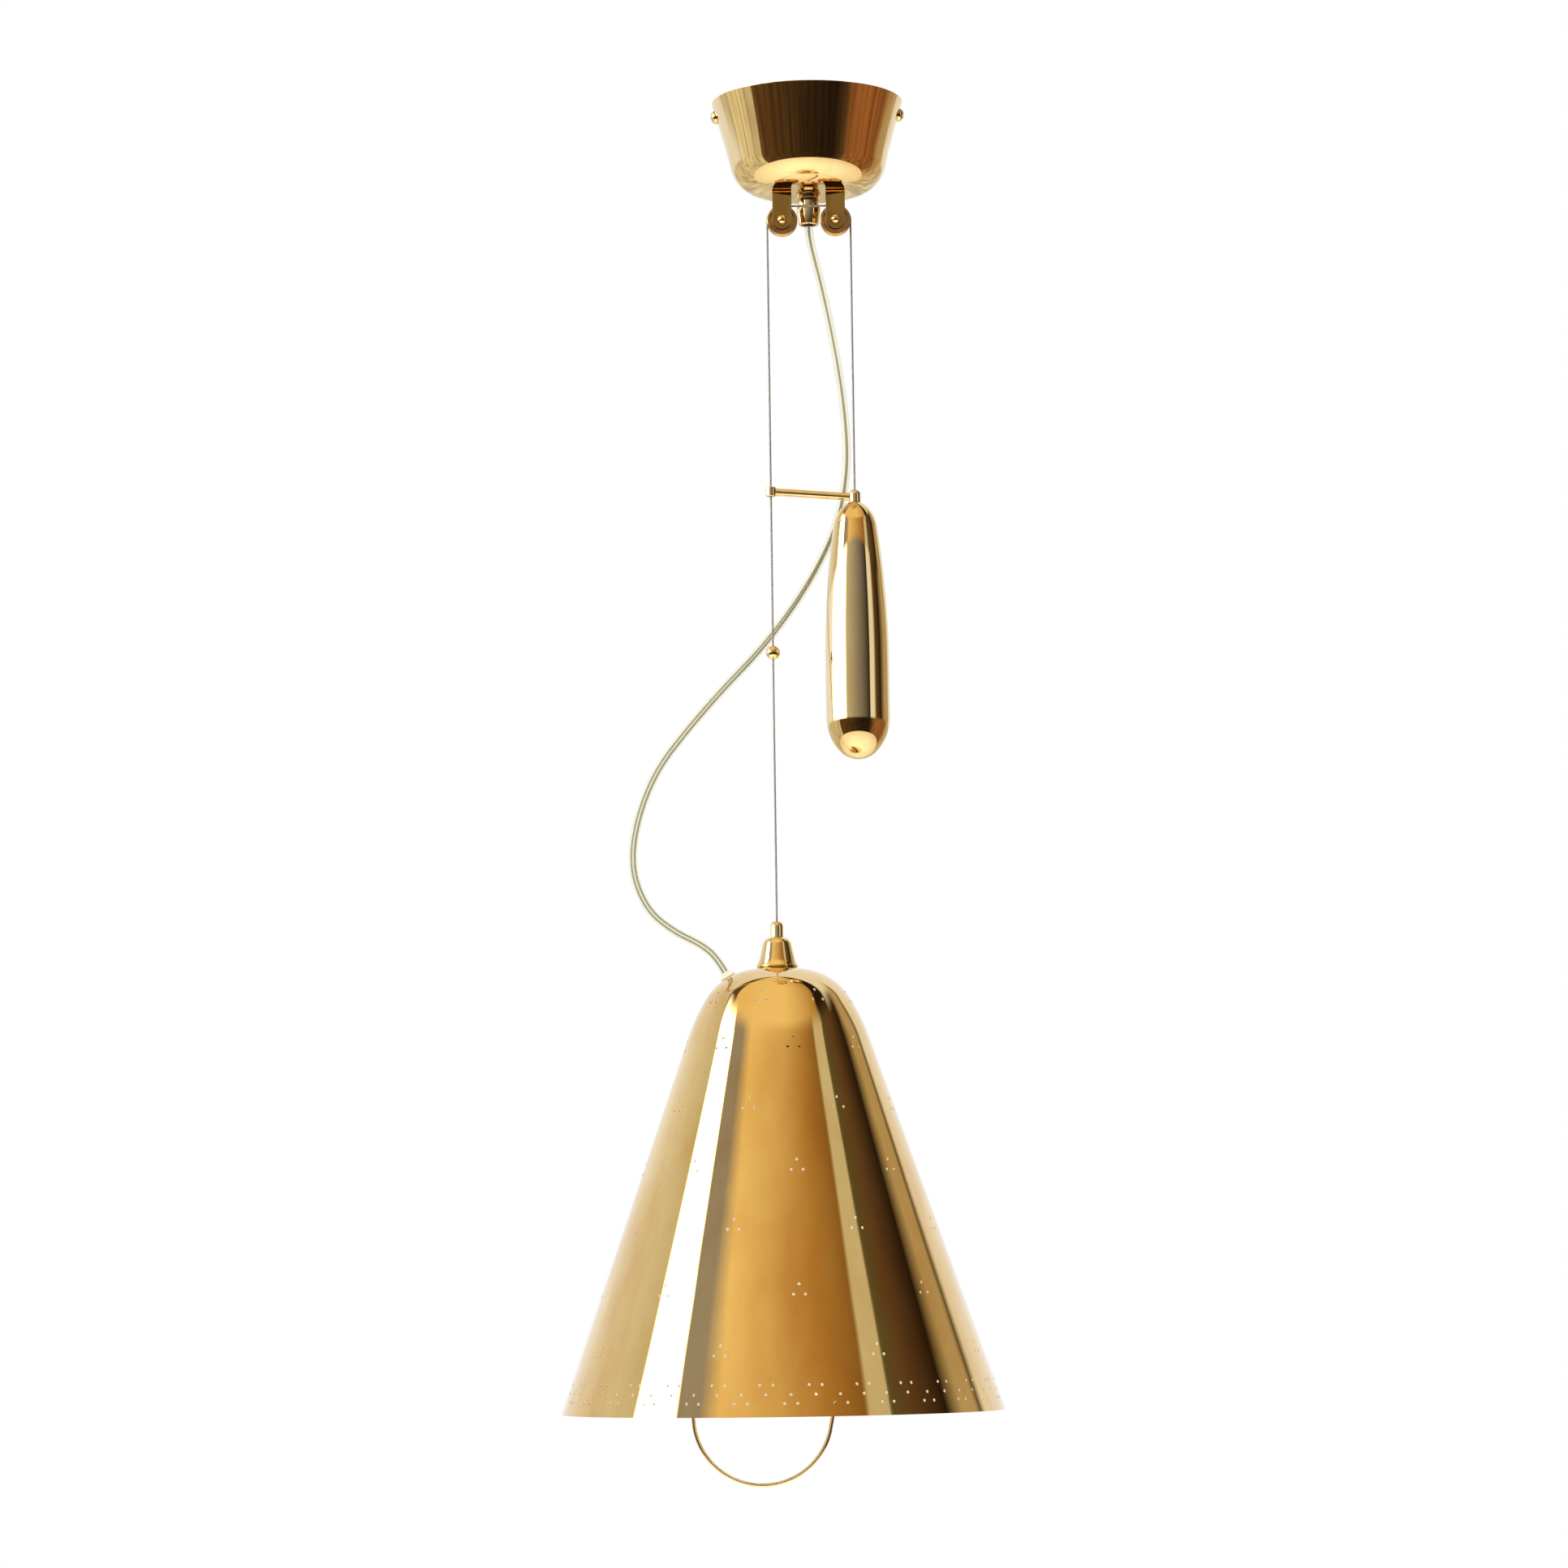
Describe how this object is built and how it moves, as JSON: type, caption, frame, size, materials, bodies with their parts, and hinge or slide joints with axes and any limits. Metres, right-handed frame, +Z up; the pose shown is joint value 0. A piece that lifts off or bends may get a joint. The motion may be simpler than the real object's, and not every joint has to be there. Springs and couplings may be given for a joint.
{
  "type": "rise and fall pendant light",
  "caption": "Brass rise and fall pendant: a perforated dome shade on a steel rope over pulleys under the canopy, balanced by a guided counterweight, with a free flex and a pull handle.",
  "frame": {"origin": "centre of the canopy's mouth, on the ceiling, on the top face of the bracket", "axes": "+Z up into the ceiling, +X to the counterweight's side, -Y to the front"},
  "size_m": [0.338, 0.338, 1.0779],
  "materials": {
    "polished_brass": "polished",
    "plain_brass": "turned, unpolished",
    "bronze": "sintered",
    "zinc_steel": "zinc plated",
    "steel_rope": "stranded wire",
    "cast_iron": "as cast",
    "white_plastic": "moulded",
    "clear_plastic": "translucent",
    "clear_flex": "clear sheath over twisted cores",
    "core_sheath": "thin clear sheath",
    "dark_plastic": "moulded phenolic",
    "ceramic": "glazed"
  },
  "bodies": {
    "canopy": {"ceiling_bracket": "zinc_steel", "canopy": "polished_brass", "canopy_screws": "polished_brass", "terminal_block": "white_plastic", "terminal_sleeves": "plain_brass", "terminal_screws": "zinc_steel", "block_screw": "zinc_steel", "supply_cores": "core_sheath", "gland_body": "polished_brass", "gland_nut": "plain_brass", "gland_cap": "polished_brass", "gland_bush": "clear_plastic", "flex_tail": "clear_flex", "flex": "clear_flex", "clevis_left": "polished_brass", "clevis_right": "polished_brass", "clevis_screws": "zinc_steel", "clevis_nuts": "plain_brass", "axle_left": "polished_brass", "axle_right": "polished_brass", "rope_bridge": "steel_rope"},
    "lamp": {"rope_left": "steel_rope", "stop_ball": "polished_brass", "stop_screw": "zinc_steel", "lamp_ferrule": "polished_brass", "neck_cap": "polished_brass", "nipple": "zinc_steel", "nipple_nuts": "plain_brass", "crown_washer": "zinc_steel", "shade": "polished_brass", "handle_strap": "plain_brass", "handle": "polished_brass", "handle_nuts": "plain_brass", "holder_cap": "plain_brass", "holder_core": "ceramic", "holder_shell": "dark_plastic", "holder_sleeve": "plain_brass", "holder_contact": "plain_brass", "flex_bush": "clear_plastic", "holder_lead": "clear_flex"},
    "counterweight": {"rope_right": "steel_rope", "weight_ferrule": "polished_brass", "weight_shell": "polished_brass", "weight_core": "cast_iron", "guide_rod": "polished_brass", "guide_eye": "polished_brass", "guide_liner": "clear_plastic"},
    "pulley_left": {"pulley_wheel_left": "polished_brass", "pulley_bush_left": "bronze"},
    "pulley_right": {"pulley_wheel_right": "polished_brass", "pulley_bush_right": "bronze"}
  },
  "joints": [
    {"name": "rise_fall", "type": "slide", "parent": "canopy", "child": "lamp", "axis": [0, 0, 1], "range_m": [-0.07, 0.058], "deforming": ["rope_left", "flex"]},
    {"name": "counterweight_travel", "type": "slide", "parent": "canopy", "child": "counterweight", "axis": [0, 0, 1], "range_m": [-0.058, 0.07], "deforming": ["rope_right"]},
    {"name": "pulley_left_spin", "type": "hinge", "parent": "canopy", "child": "pulley_left", "pos_m": [-0.0209, -0.011, -0.0962], "axis": [0, 1, 0], "range_deg": [-345, 286]},
    {"name": "pulley_right_spin", "type": "hinge", "parent": "canopy", "child": "pulley_right", "pos_m": [0.0209, -0.011, -0.0962], "axis": [0, 1, 0], "range_deg": [-345, 286]}
  ],
  "couplings": [
    {"joint": "counterweight_travel", "follows": "rise_fall", "ratio": -1},
    {"joint": "pulley_left_spin", "follows": "rise_fall", "rad_per_m": 85.47},
    {"joint": "pulley_right_spin", "follows": "rise_fall", "rad_per_m": 85.47}
  ]
}
